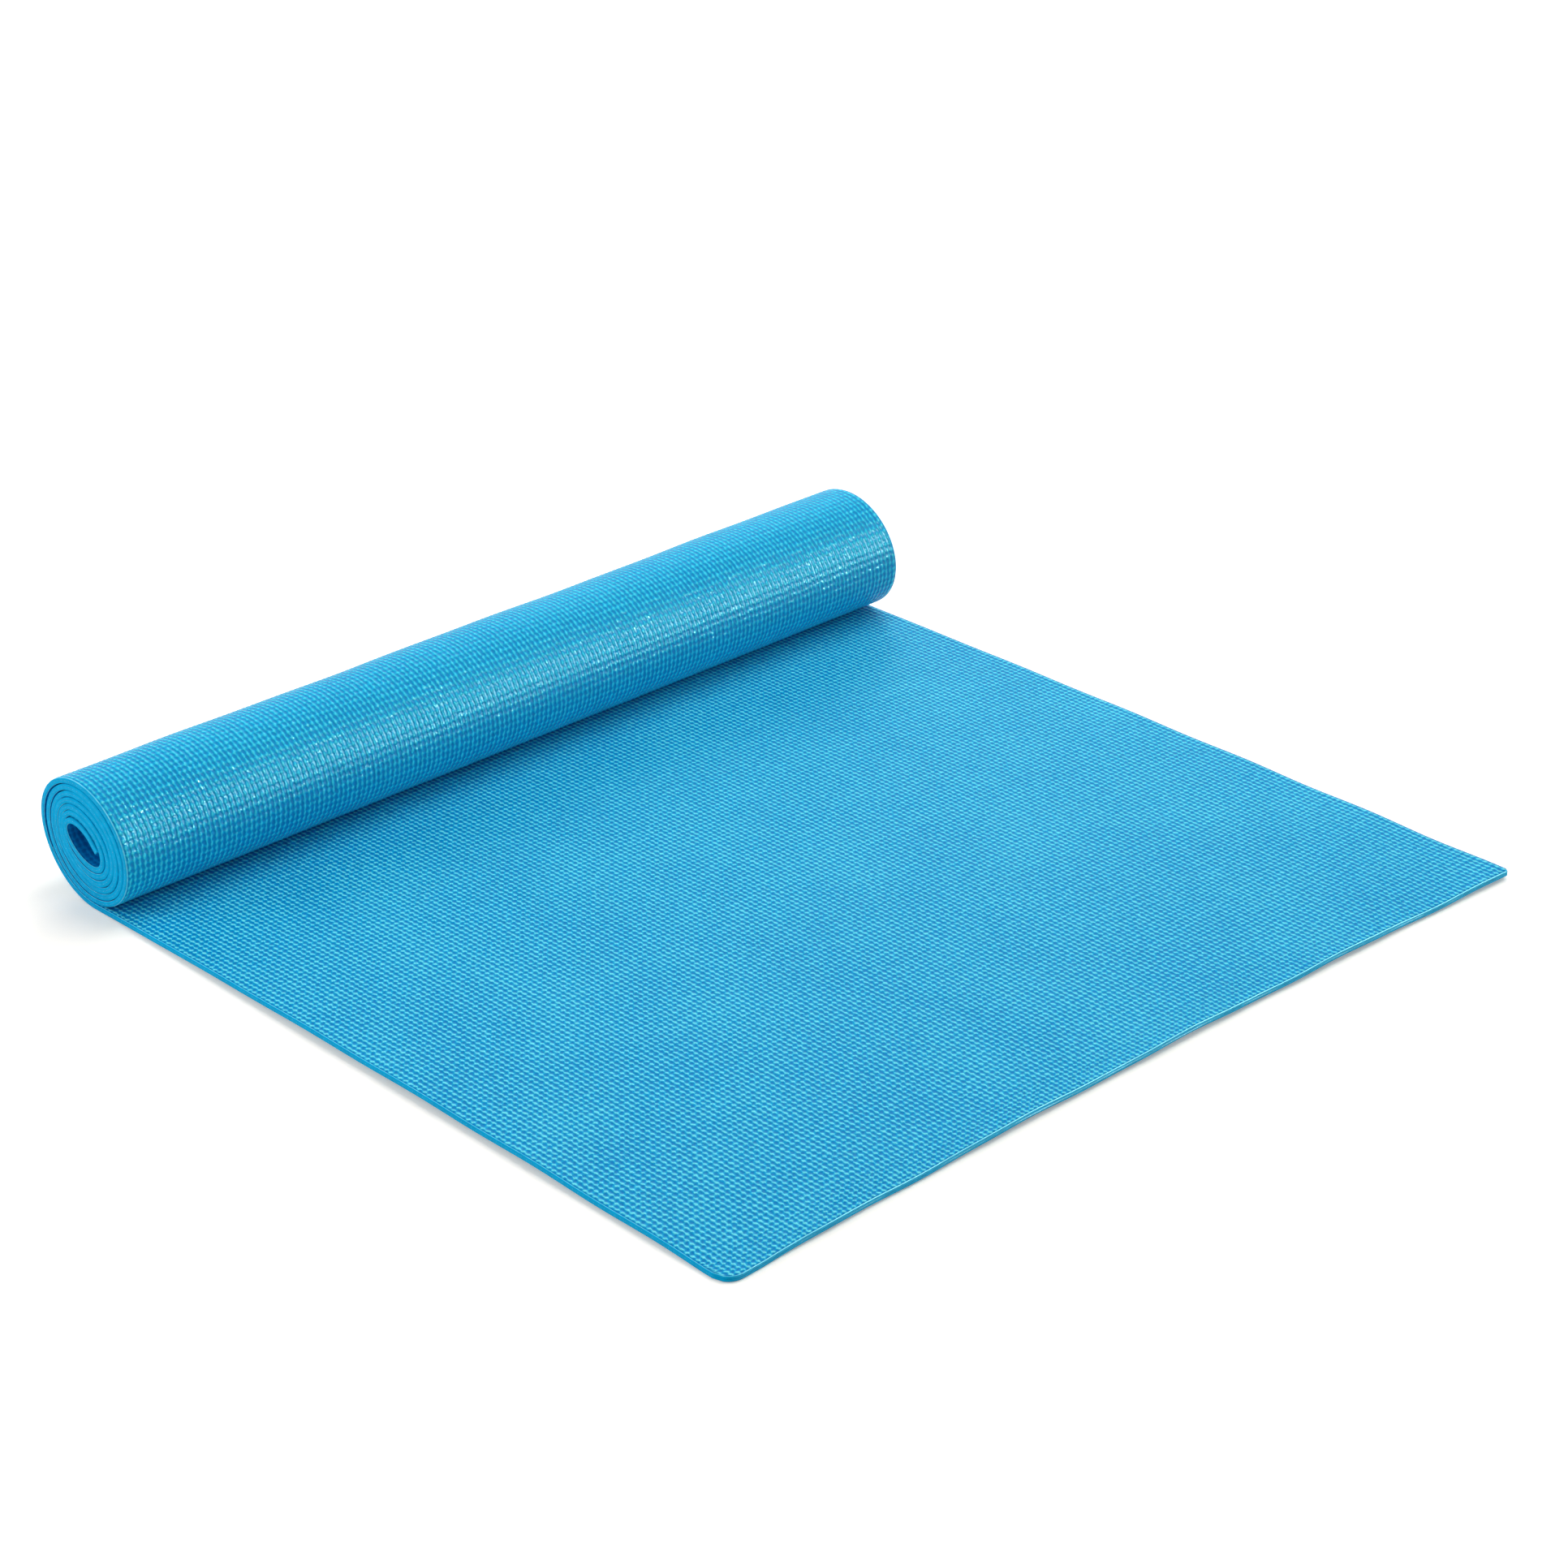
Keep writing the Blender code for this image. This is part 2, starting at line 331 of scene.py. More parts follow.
def wind_sheet():
    """The wound stretch as a dense table: how far along, place and direction outwards."""
    turned = np.linspace(math.radians(TAIL_AT_DEG), FOOT, WINDING_POINTS)
    near = 1e-4                      # radians to each side, for the slope
    radius = turn_radius(turned)
    slope = (turn_radius(turned + near) - turn_radius(turned - near)) / (2 * near)
    out = np.stack([np.cos(turned), np.sin(turned)], 1)
    on = np.stack([-np.sin(turned), np.cos(turned)], 1)
    place = radius[:, None] * out + slope[:, None] * on
    runs = np.linspace(TAIL_RUN, 0, TAIL_POINTS)[:-1, None]
    place = np.concatenate([place[0] - runs * on[0], place])
    out = np.concatenate([np.repeat(out[:1], len(runs), 0), out])
    turned = np.concatenate([np.full(len(runs), turned[0]), turned])
    middle = place + out * SHEET_THICKNESS / 2
    along = np.concatenate([[0], np.cumsum(np.hypot(*np.diff(middle, axis=0).T))])
    place += (AXIS.x, -place[-1, 1] + SHEET_THICKNESS)
    return along - along[-1], place, out, turned


ALONG, PLACE, OUT, TURNED = wind_sheet()
FLAT_START = PLACE[-1, 0]
BEND_LENGTH = -ALONG[np.searchsorted(TURNED, BEND_TOP)]


def on_winding(along, across, depth):
    """Place on the wound stretch; along is 0 at the bend's foot and falls towards the hole."""
    x, z = (np.interp(along, ALONG, PLACE[:, k]) for k in (0, 1))
    out_x, out_z = (np.interp(along, ALONG, OUT[:, k]) for k in (0, 1))
    turned = np.interp(along, ALONG, TURNED)
    depth = depth * (1 + swelling(turned)) + bulging(turned, across)
    inside = np.clip((BEND_TOP - turned) / FULL_TURN, 0, 1)
    wobble = TURN_WOBBLE * inside * np.sin(WOBBLES * turned)
    return np.stack([x + out_x * depth, across + wobble, z + out_z * depth], -1)


def lift(x, y):
    """How far the flat stretch stands off the floor.

    4 * share * (1 - share) is an arch, 0 at both ends and 1 in the middle.
    """
    share_x = np.clip((x - FLAT_START) / (AXIS.x + REACH_NEAR - FLAT_START), 0, 1)
    share_y = np.clip(y / MAT_WIDTH + 0.5, 0, 1)
    side = LIFT_NEAR_SIDE * 4 * share_x * (1 - share_x) * (1 - share_y) ** 2
    arch = 1 - np.abs(2 * share_y - END_ARCH_SHIFT) ** END_ARCH_POWER
    end = LIFT_FREE_END * arch * share_x ** END_SHARPNESS
    side = side + LIFT_FAR_SIDE * 4 * share_x * (1 - share_x) * share_y ** 2
    corner = LIFT_FAR_CORNER * share_y ** 3 * share_x ** 3
    edge = np.maximum(np.maximum(share_x, 2 * share_y - 1), 1 - 2 * share_y) ** EDGE_SHARPNESS
    waves = np.sin(FULL_TURN * (x + RIPPLE_SLANT * y) / RIPPLE_LENGTH) * edge * share_x
    rolling = sum(np.sin(FULL_TURN * (x / along + y / across + start))
                  for along, across, start in UNREST_WAVES)
    rolling = 0.5 + rolling / (2 * len(UNREST_WAVES))
    rolling = rolling * np.clip(share_x / UNREST_FADE_SHARE, 0, 1) * (1 - edge)
    return np.maximum(0, side + end + corner + RIPPLE * waves + UNREST * rolling)


def free_end(y, inset):
    """How far out the free end is cut, with its rounded corners."""
    end = AXIS.x + REACH_NEAR + (REACH_FAR - REACH_NEAR) * (y / MAT_WIDTH + 0.5)
    end = end - END_BOW * (1 - (2 * y / MAT_WIDTH) ** 2)
    long_length, short_length = EDGE_WAVE_LENGTHS
    wander = np.sin(FULL_TURN * y / long_length + EDGE_WAVE_START)
    wander = wander * np.cos(FULL_TURN * y / short_length)
    end = end + EDGE_WAVE * wander
    round_to = np.where(y < 0, NEAR_CORNER_RADIUS, FAR_CORNER_RADIUS)
    radius = round_to - inset
    past = np.clip(np.abs(y) - (MAT_WIDTH / 2 - round_to), 0, radius)
    return end - inset - radius + np.sqrt(np.maximum(0, radius ** 2 - past ** 2))


def on_flat(along, across, depth, inset=0.0):
    """Place on the flat stretch; along is counted in half pitches of the nubs."""
    last = 2 * NUBS_ALONG_FLAT
    pitch = (AXIS.x + (REACH_NEAR + REACH_FAR) / 2 - FLAT_START) / last
    turn_in = last - SQUEEZED_COLUMNS
    squeezed = np.clip((along - turn_in) / SQUEEZED_COLUMNS, 0, 1)
    straight = FLAT_START + pitch * np.minimum(along, turn_in)
    x = straight + squeezed * (free_end(across, inset) - (FLAT_START + pitch * turn_in))
    return np.stack([x, across, SHEET_THICKNESS - depth + lift(x, across)], -1)


def across_at(row, inset):
    """Y of a half row, on a face whose sides are drawn in by an inset."""
    return (MAT_WIDTH / 2 - inset) * (2 * row / ROW_STEPS - 1)


def stations(stretch, fine_turns=0.0):
    """The sheet's columns in a stretch: how far along each lies, and how many hold every row.

    None for how many means that all of them do.
    """
    if stretch == "flat":
        return np.arange(2 * NUBS_ALONG_FLAT + 1), None
    top = -BEND_LENGTH
    if stretch == "bend":
        return np.linspace(0, top, round(BEND_LENGTH / HALF_COLUMN) + 1), None
    inner = BEND_TOP - FULL_TURN * fine_turns
    start = ALONG[np.searchsorted(TURNED, inner)]
    fine = np.linspace(top, start, round((top - start) / HALF_COLUMN) + 1) - JOIN_GAP
    steps = math.ceil((inner - TURNED[0]) / math.radians(PLAIN_STEP_DEG))
    wound = slice(TAIL_POINTS - 1, None)
    plain = np.interp(np.linspace(inner, TURNED[0], steps + 1)[1:], TURNED[wound], ALONG[wound])
    tail = np.linspace(plain[-1], ALONG[0], TAIL_COLUMNS)[1:]
    return np.concatenate([fine, plain, tail]), len(fine)


def sheet_solid(stretch, depths, rim=None, nubs_on=None, fine_turns=0.0):
    """A closed layer of the sheet over one stretch.

    depths are its upper and lower side, down from the top face. A rim, given for both ends of
    the stretch, rounds the edges of the nubbed side, which is the upper or the lower one, and
    only that side holds every row. Each point's spot is its column, its half row and its ring.
    """
    columns, fine_columns = stations(stretch, fine_turns)
    last = len(columns) - 1
    every = np.arange(ROW_STEPS + 1)
    coarse = every[::COARSE_ROWS] if stretch == "flat" else every[::ROW_STEPS]
    nub_side = depths[0] if nubs_on != "lower" else depths[1]
    bond_side = depths[1] if nubs_on != "lower" else depths[0]
    inward = 1 if bond_side > nub_side else -1
    # each ring of the section: where it starts, and its shares of the rim down and inwards
    rings = [(nub_side, 0, 0)]
    if rim:
        rings = [(nub_side, 0, 1), (nub_side, ROUND_SHARE, ROUND_SHARE), (nub_side, 1, 0)]
    rings.append((bond_side, 0, 0))
    rims = np.linspace(*rim, last + 1) if rim else np.zeros(last + 1)
    if stretch == "roll":
        from_fine_end = fine_columns - 1 - np.arange(last + 1)
        rims *= np.clip(from_fine_end / RIM_FADE_COLUMNS, INNER_RIM_SHARE, 1)
    points, spots, numbers = [], [], {}

    def rows_at(i, ring):
        """The half rows that have a point, in one column of one ring."""
        full = nubs_on and (fine_columns is None or i < fine_columns)
        outer_end = stretch == "flat" and i == last and rim
        if ring == 0:
            return every if full else coarse
        if ring == len(rings) - 1:
            return every if outer_end else coarse
        return every if outer_end else every[::ROW_STEPS]

    for ring, (start, down_share, in_share) in enumerate(rings):
        for i in range(last + 1):
            rows = rows_at(i, ring)
            depth = start + inward * down_share * rims[i]
            inset = in_share * rims[i]
            across = across_at(rows, inset)
            if stretch == "flat":
                placed = on_flat(np.full(len(rows), float(i)), across, depth, inset)
            else:
                placed = on_winding(np.full(len(rows), columns[i]), across, depth)
            for row, point in zip(rows, placed):
                numbers[ring, i, int(row)] = len(points)
                points.append(point)
                spots.append((i, int(row), ring))
    faces, finishes = [], []

    def strip(first, second, finish, flip):
        """Faces between two chains of rows, which meet wherever both have a row."""
        (ring_a, i_a), (ring_b, i_b) = first, second
        rows_a = [int(r) for r in rows_at(i_a, ring_a)]
        rows_b = [int(r) for r in rows_at(i_b, ring_b)]
        shared = sorted(set(rows_a) & set(rows_b))
        for low, high in zip(shared, shared[1:]):
            side_a = [numbers[ring_a, i_a, r] for r in rows_a if low <= r <= high]
            side_b = [numbers[ring_b, i_b, r] for r in rows_b if low <= r <= high]
            face = side_a + side_b[::-1]
            faces.append(face[::-1] if flip else face)
            finishes.append(finish)

    # which faces are turned round, so that all of them face outwards
    top_up = (nubs_on != "lower") == (stretch == "flat")
    final = len(rings) - 1
    for i in range(last):
        strip((0, i), (0, i + 1), SKIN, top_up)
        strip((final, i), (final, i + 1), CUT, not top_up)
        for ring in range(final):
            for row, flip in ((0, top_up), (ROW_STEPS, not top_up)):
                face = [numbers[ring, i, row], numbers[ring, i + 1, row],
                        numbers[ring + 1, i + 1, row], numbers[ring + 1, i, row]]
                faces.append(face[::-1] if flip else face)
                # the widest rims take the paler edge finish, a painted highlight
                pale = ring == 0 and rim and rims[i] > PALE_RIM_SHARE * rims[0]
                finishes.append(EDGE if pale else CUT)
    strip((0, 0), (final, 0), CUT, not top_up)
    if stretch == "flat" and rim:
        for ring in range(final):
            strip((ring, last), (ring + 1, last), EDGE if ring == 0 else CUT, top_up)
    else:
        strip((0, last), (final, last), CUT, top_up)
    spots = np.array(spots)
    along = np.array(columns, float)[spots[:, 0]]
    if stretch == "flat":
        along = along * HALF_COLUMN
    on_sheet = np.stack([along, spots[:, 1] * MAT_WIDTH / ROW_STEPS, 0 * along], 1)
    return {"stretch": stretch, "points": points, "faces": faces, "finishes": finishes,
            "spots": spots, "on_sheet": on_sheet, "last": last, "fine_columns": fine_columns}


def solid_object(name, made, materials):
    """Turn a layer's points and faces into an object, with its UV map in metres of sheet."""
    mesh = bpy.data.meshes.new(name)
    mesh.from_pydata(made["points"], [], made["faces"])
    for material in materials:
        mesh.materials.append(material)
    mesh.polygons.foreach_set("material_index",
                              [min(f, len(materials) - 1) for f in made["finishes"]])
    corners = np.empty(len(mesh.loops), np.int64)
    mesh.loops.foreach_get("vertex_index", corners)
    layer = mesh.uv_layers.new(name="sheet")
    flat_place = made["on_sheet"][corners][:, :2]
    layer.uv.foreach_set("vector", flat_place.astype(np.float32).ravel())
    thing = bpy.data.objects.new(name, mesh)
    bpy.context.scene.collection.objects.link(thing)
    mesh.shade_smooth()
    mesh.set_sharp_from_angle(angle=math.radians(SHARP_DEG))
    return thing


def new_finish(name):
    """A new material, its node tree and its shader."""
    material = bpy.data.materials.new(name)
    material.use_nodes = True
    return material, material.node_tree, material.node_tree.nodes["Principled BSDF"]


def net_material():
    """Polyester threads, pale and matt, with blue foam fused through the openings between."""
    material, tree, shader = new_finish("polyester_net_in_foam")
    spot = add_node(tree, "ShaderNodeUVMap", {"uv_map": "sheet"}).outputs[0]
    parts = add_node(tree, "ShaderNodeSeparateXYZ", inputs={0: spot}).outputs
    lines = []
    for part, pitch in ((parts[0], NUB_PITCH), (parts[1], ROW_PITCH)):
        # the threads lie a third of a pitch beside the hollows between the nubs
        part = add_node(tree, "ShaderNodeMath", {"operation": "ADD"}, {0: part, 1: pitch / 3})
        line = add_node(tree, "ShaderNodeMath", {"operation": "PINGPONG"},
                        {0: part.outputs[0], 1: pitch / 2})
        lines.append(add_node(tree, "ShaderNodeMapRange", {},
                              {"Value": line.outputs[0],
                               "From Min": THREAD_HALF * (1 - THREAD_FADE_SHARE),
                               "From Max": THREAD_HALF * (1 + THREAD_FADE_SHARE),
                               "To Min": 1.0, "To Max": 0.0}))
    thread = add_node(tree, "ShaderNodeMath", {"operation": "MAXIMUM"},
                      {0: lines[0].outputs[0], 1: lines[1].outputs[0]})
    shade = add_node(tree, "ShaderNodeValToRGB", inputs={0: thread.outputs[0]})
    for element, code in zip(shade.color_ramp.elements, NET_COLOURS):
        element.color = paint(code)
    bump = add_node(tree, "ShaderNodeBump", inputs={"Height": thread.outputs[0],
                                                    "Distance": THREAD_RELIEF})
    tree.links.new(shade.outputs[0], shader.inputs["Base Color"])
    tree.links.new(bump.outputs[0], shader.inputs["Normal"])
    shader.inputs["Roughness"].default_value = NET_ROUGHNESS
    return material


def carry(piece, stretch):
    """Let a piece move as its stretch does."""
    if stretch == "flat":
        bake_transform(piece)
    else:
        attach(piece, stretch)


FOAM_THICKNESS = (SHEET_THICKNESS - NET_THICKNESS) / 2
net_finish = net_material()
for stretch in BODIES:
    made = sheet_solid(stretch, (FOAM_THICKNESS, FOAM_THICKNESS + NET_THICKNESS))
    net = solid_object(stretch + "_net", made, [net_finish])
    carry(net, stretch)
    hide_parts(stretch + "_scrim")


# The top coat
# Closed-cell PVC foam, blown in an oven onto the net's upper face. Its skin rises through the
# net in rows of small oblong nubs. The roll hides it, but for the inner end in the hole.
FLAT_RIM, ROLL_RIM = 0.0004, 0.0009  # how far the cut edges are rounded
NUB_HEIGHT = 0.00036
NUB_FADE_COLUMNS = 4                 # half pitches over which the nubs sink away inside the roll
NUB_DIP_SHARE = 0.42                 # how far a row sinks between two of its nubs
DIP_SPREAD, DIP_SCALE = 0.15, 230.0  # and how much that varies, over some 4 mm
UNEVEN_SHARE, UNEVEN_SCALE = 0.35, 210.0     # the nubs' height varies too, over some 5 mm
NUB_STRAY = (0.0018, 0.0013)         # how far nubs stray from their grid
STRAY_SCALE, STRAY_ROUGHNESS = 190.0, 0.6    # which changes over some 5 mm
NUB_SLANT = 0.25                     # and each lies a little aslant
NUB_POWER = 1.8                      # narrows the nubs and widens what is between them
GRAIN_SCALE = 820.0                  # 1.2 mm, coarser than the real grain, so that it shows
GRAIN_RELIEF_SHARE, GRAIN_TINT_SHARE = 0.16, 0.35
CLOUD_SCALE, CLOUD_TINT_SHARE = 14.0, 0.14   # faint clouds in the colour, 7 cm wide
# Painted light: the blues run from painted shade between the nubs to a painted sheen on their tops
TOP_BLUES_WITH_PAINTED_LIGHT = ("0078BE", "00A2D8", "74EAF6")   # between the nubs, on their sides, on their tops
BLUE_STOPS = (0.04, 0.28, 0.82)
TOP_RELIEF = 0.0008                  # how deep the skin's fine relief looks
SATIN_BETWEEN, SATIN_ON_NUBS = 0.45, 0.2     # roughness between the nubs and on them
SATIN_HEIGHT = 0.3                   # share of a nub's height from which it is all the latter
TOP_GLOSS = 0.025                    # how much it mirrors: the photo shows no veil on the blue
# Darker blues: painted shade for the deep hole, as well as the nubs' painted shade and sheen
WOUND_BLUES_IN_PAINTED_SHADE = ("0060A6", "0070BA", "0084CA")     # pressed flat and out of the light, in the hole
WOUND_RELIEF = 0.0002
WOUND_GLOSS = 0.02
# the edges' paler blues are a painted highlight along the rounded rims
CUT_BLUES, EDGE_HIGHLIGHT_BLUES = ("00A4DC", "00B0E8"), ("48C4EE", "74DCF8")
NOISE_SPAN = (0.3, 0.7)              # nearly all of a noise's values lie in it
CUT_MOTTLE_SCALE, EDGE_MOTTLE_SCALE = 260.0, 320.0     # spots of 4 mm and 3 mm
CELL_SCALE = 2600.0                  # 0.4 mm, coarser than real cells, so that the cut looks dull
CELL_RELIEF, CELL_STRENGTH = 0.0001, 0.4
CUT_ROUGHNESS, CUT_GLOSS = 0.7, 0.05
EDGE_ROUGHNESS, EDGE_GLOSS = 0.45, 0.14


def nub_tree():
    """Nodes that raise the nubs, from each point's place on the sheet."""
    tree = bpy.data.node_groups.new("nubs", "GeometryNodeTree")
    face = tree.interface
    face.new_socket("Geometry", in_out="INPUT", socket_type="NodeSocketGeometry")
    for name, value in (("Pitch along", NUB_PITCH), ("Pitch across", ROW_PITCH),
                        ("Height", NUB_HEIGHT), ("Dip", NUB_DIP_SHARE),
                        ("Unevenness", UNEVEN_SHARE)):
        socket = face.new_socket(name, in_out="INPUT", socket_type="NodeSocketFloat")
        socket.default_value = value
    face.new_socket("Skin", in_out="INPUT", socket_type="NodeSocketMaterial")
    face.new_socket("Geometry", in_out="OUTPUT", socket_type="NodeSocketGeometry")
    given = add_node(tree, "NodeGroupInput").outputs
    spot = add_node(tree, "GeometryNodeInputNamedAttribute", {"data_type": "FLOAT_VECTOR"},
                    {"Name": "sheet_place"}).outputs["Attribute"]
    share = add_node(tree, "GeometryNodeInputNamedAttribute", {"data_type": "FLOAT"},
                     {"Name": "nub_share"}).outputs["Attribute"]
    parts = add_node(tree, "ShaderNodeSeparateXYZ", inputs={0: spot}).outputs
    waves = []
    for part, pitch in ((parts[0], given["Pitch along"]), (parts[1], given["Pitch across"])):
        count = add_node(tree, "ShaderNodeMath", {"operation": "DIVIDE"}, {0: part, 1: pitch})
        angle = add_node(tree, "ShaderNodeMath", {"operation": "MULTIPLY"},
                         {0: count.outputs[0], 1: FULL_TURN})
        wave = add_node(tree, "ShaderNodeMath", {"operation": "COSINE"}, {0: angle.outputs[0]})
        # 0 between two nubs, 1 on a nub
        waves.append(add_node(tree, "ShaderNodeMapRange", {"clamp": False},
                              {"Value": wave.outputs[0], "From Min": 1.0, "From Max": -1.0})
                     .outputs[0])
    both = add_node(tree, "ShaderNodeMix", {"data_type": "FLOAT"},
                    {"Factor": given["Dip"], "A": waves[1], "B": waves[0]})
    noise = add_node(tree, "ShaderNodeTexNoise", {"noise_dimensions": "3D"},
                     {"Vector": spot, "Scale": UNEVEN_SCALE, "Detail": 1.0})
    uneven = add_node(tree, "ShaderNodeMath", {"operation": "SUBTRACT"},
                      {0: noise.outputs[0], 1: 0.5})
    swell = add_node(tree, "ShaderNodeMath", {"operation": "MULTIPLY_ADD"},
                     {0: uneven.outputs[0], 1: given["Unevenness"], 2: 1.0})
    nub = add_node(tree, "ShaderNodeMath", {"operation": "MULTIPLY"},
                   {0: both.outputs[0], 1: swell.outputs[0]})
    # half of a nub stands above the sheet's plain face, and the hollows lie half below it
    level = add_node(tree, "ShaderNodeMath", {"operation": "SUBTRACT"},
                     {0: nub.outputs[0], 1: 0.5})
    height = add_node(tree, "ShaderNodeMath", {"operation": "MULTIPLY"},
                      {0: level.outputs[0], 1: given["Height"]})
    height = add_node(tree, "ShaderNodeMath", {"operation": "MULTIPLY"},
                      {0: height.outputs[0], 1: share})
    normal = add_node(tree, "GeometryNodeInputNormal").outputs[0]
    offset = add_node(tree, "ShaderNodeVectorMath", {"operation": "SCALE"},
                      {0: normal, "Scale": height.outputs[0]})
    raised = add_node(tree, "GeometryNodeSetPosition",
                      inputs={"Geometry": given["Geometry"], "Offset": offset.outputs[0]})
    finish = add_node(tree, "GeometryNodeInputMaterialIndex").outputs[0]
    is_skin = add_node(tree, "FunctionNodeCompare", {"data_type": "INT", "operation": "EQUAL"},
                       {2: finish, 3: SKIN})
    real = add_node(tree, "GeometryNodeRealizeInstances", inputs={0: raised.outputs[0]})
    done = add_node(tree, "GeometryNodeSetMaterial",
                    inputs={"Geometry": real.outputs[0], "Selection": is_skin.outputs[0],
                            "Material": given["Skin"]})
    add_node(tree, "NodeGroupOutput", inputs={0: done.outputs[0]})
    return tree


def raise_nubs(thing, made, skin):
    """Run the nubs' nodes on a piece, and keep the result as its plain mesh."""
    column, row, ring = made["spots"].T
    share = ((ring == 0) & (row > 0) & (row < ROW_STEPS)).astype(float)
    if made["stretch"] == "flat":
        share[column == made["last"]] = 0
    if made["fine_columns"] is not None:
        inwards = made["fine_columns"] - 1 - column
        share *= np.clip(inwards / NUB_FADE_COLUMNS, 0, 1)
    mesh = thing.data
    mesh.attributes.new("sheet_place", "FLOAT_VECTOR", "POINT").data.foreach_set(
        "vector", made["on_sheet"].astype(np.float32).ravel())
    mesh.attributes.new("nub_share", "FLOAT", "POINT").data.foreach_set(
        "value", share.astype(np.float32))
    nubs = thing.modifiers.new("nubs", "NODES")
    nubs.node_group = NUB_TREE
    socket = NUB_TREE.interface.items_tree["Skin"]
    nubs[socket.identifier] = skin
    ready = thing.evaluated_get(bpy.context.evaluated_depsgraph_get())
    plain = bpy.data.meshes.new_from_object(ready)
    thing.modifiers.remove(nubs)
    thing.data = plain
    plain.name = thing.name
    for name in ("sheet_place", "nub_share"):
        plain.attributes.remove(plain.attributes[name])


def skin_material(name, blues_with_painted_light, relief, dip_share, mirrors):
    """Embossed PVC foam skin, satin so that nub tops glint, with painted shade between the nubs and
    painted sheen on their tops.
    """
    material, tree, shader = new_finish(name)
    spot = add_node(tree, "ShaderNodeUVMap", {"uv_map": "sheet"}).outputs[0]
    warp = add_node(tree, "ShaderNodeTexNoise", {"noise_dimensions": "2D"},
                    {"Vector": spot, "Scale": STRAY_SCALE, "Detail": 2.0,
                     "Roughness": STRAY_ROUGHNESS})
    centred = add_node(tree, "ShaderNodeVectorMath", {"operation": "SUBTRACT"},
                       {0: warp.outputs["Color"], 1: (0.5, 0.5, 0.5)})
    moved = add_node(tree, "ShaderNodeVectorMath", {"operation": "MULTIPLY_ADD"},
                     {0: centred.outputs[0], 1: (*NUB_STRAY, 0), 2: spot})
    parts = add_node(tree, "ShaderNodeSeparateXYZ", inputs={0: moved.outputs[0]}).outputs
    row = add_node(tree, "ShaderNodeMath", {"operation": "WRAP"},
                   {0: parts[1], 1: ROW_PITCH / 2, 2: -ROW_PITCH / 2})
    slanted = add_node(tree, "ShaderNodeMath", {"operation": "MULTIPLY_ADD"},
                       {0: row.outputs[0], 1: NUB_SLANT, 2: parts[0]})
    waves = []
    for part, pitch in ((slanted.outputs[0], NUB_PITCH), (parts[1], ROW_PITCH)):
        angle = add_node(tree, "ShaderNodeMath", {"operation": "MULTIPLY"},
                         {0: part, 1: FULL_TURN / pitch})
        wave = add_node(tree, "ShaderNodeMath", {"operation": "COSINE"}, {0: angle.outputs[0]})
        waves.append(add_node(tree, "ShaderNodeMapRange", {},
                              {"Value": wave.outputs[0], "From Min": 1.0, "From Max": -1.0})
                     .outputs[0])
    chance = add_node(tree, "ShaderNodeTexNoise", {"noise_dimensions": "2D"},
                      {"Vector": spot, "Scale": DIP_SCALE, "Detail": 1.0})
    dip = add_node(tree, "ShaderNodeMapRange", {},
                   {"Value": chance.outputs[0],
                    "From Min": NOISE_SPAN[0], "From Max": NOISE_SPAN[1],
                    "To Min": dip_share - DIP_SPREAD, "To Max": dip_share + DIP_SPREAD})
    nub = add_node(tree, "ShaderNodeMix", {"data_type": "FLOAT"},
                   {"Factor": dip.outputs[0], "A": waves[1], "B": waves[0]})
    nub = add_node(tree, "ShaderNodeMath", {"operation": "POWER"},
                   {0: nub.outputs[0], 1: NUB_POWER})
    grain = add_node(tree, "ShaderNodeTexNoise", {"noise_dimensions": "2D"},
                     {"Vector": spot, "Scale": GRAIN_SCALE, "Detail": 2.0})
    rough = add_node(tree, "ShaderNodeMath", {"operation": "SUBTRACT"},
                     {0: grain.outputs[0], 1: 0.5})
    height = add_node(tree, "ShaderNodeMath", {"operation": "MULTIPLY_ADD"},
                      {0: rough.outputs[0], 1: GRAIN_RELIEF_SHARE, 2: nub.outputs[0]})
    cloud = add_node(tree, "ShaderNodeTexNoise", {"noise_dimensions": "2D"},
                     {"Vector": spot, "Scale": CLOUD_SCALE, "Detail": 3.0})
    tone_and_painted_light = add_node(tree, "ShaderNodeMath", {"operation": "MULTIPLY_ADD"},
                    {0: cloud.outputs[0], 1: CLOUD_TINT_SHARE, 2: -CLOUD_TINT_SHARE / 2})
    tone_and_painted_light = add_node(tree, "ShaderNodeMath", {"operation": "MULTIPLY_ADD"},
                    {0: rough.outputs[0], 1: GRAIN_TINT_SHARE, 2: tone_and_painted_light.outputs[0]})
    # the nubs' height lightens the colour: painted shade between them and painted sheen on their
    # tops
    tone_and_painted_light = add_node(tree, "ShaderNodeMath", {"operation": "ADD"},
                    {0: tone_and_painted_light.outputs[0], 1: nub.outputs[0]})
    shade = add_node(tree, "ShaderNodeValToRGB", inputs={0: tone_and_painted_light.outputs[0]})
    shade.color_ramp.elements.new(0.5)
    for element, place, code in zip(shade.color_ramp.elements, BLUE_STOPS, blues_with_painted_light):
        element.position = place
        element.color = paint(code)
    bump = add_node(tree, "ShaderNodeBump", inputs={"Height": height.outputs[0],
                                                    "Distance": relief})
    tree.links.new(shade.outputs[0], shader.inputs["Base Color"])
    tree.links.new(bump.outputs[0], shader.inputs["Normal"])
    gloss = add_node(tree, "ShaderNodeMapRange", {},
                     {"Value": height.outputs[0], "From Max": SATIN_HEIGHT,
                      "To Min": SATIN_BETWEEN, "To Max": SATIN_ON_NUBS})
    tree.links.new(gloss.outputs[0], shader.inputs["Roughness"])
    shader.inputs["Specular IOR Level"].default_value = mirrors
    return material


